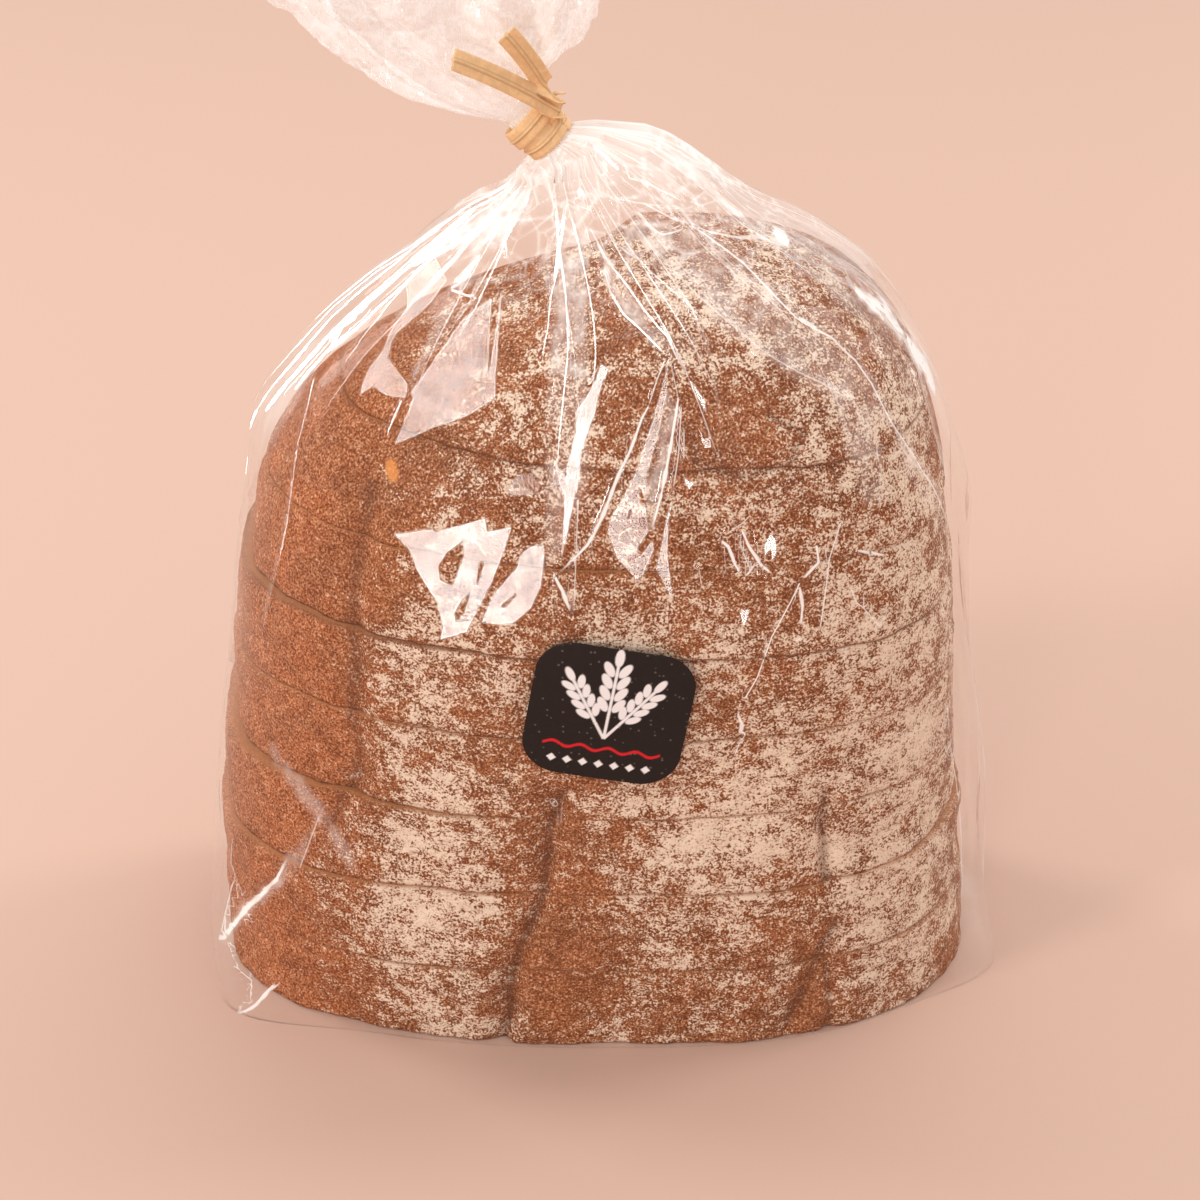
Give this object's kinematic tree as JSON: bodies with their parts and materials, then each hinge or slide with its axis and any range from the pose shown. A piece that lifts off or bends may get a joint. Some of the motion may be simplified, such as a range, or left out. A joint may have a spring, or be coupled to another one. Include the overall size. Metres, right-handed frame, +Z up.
{
  "type": "loaf in bread bag",
  "caption": "Sliced half of a floured rustic loaf standing on its cut face in a clear bag, gathered at the neck with a paper twist tie and marked with a square label.",
  "frame": {"origin": "on the table, in the flat base under the middle of the loaf", "axes": "+Z up along the loaf to the gathered neck, -Y out of the front with the label, +X to the right of someone who looks at the label"},
  "size_m": [0.1683, 0.0911, 0.2415],
  "materials": {
    "bag": "clear film close over a floured brown crust, taken as one solid",
    "twist_tie": "matt kraft paper over a wire",
    "label": "black printed paper with a slight sheen"
  },
  "bodies": {
    "root": {"bag": "bag", "twist_tie": "twist_tie", "label": "label"}
  },
  "joints": []
}
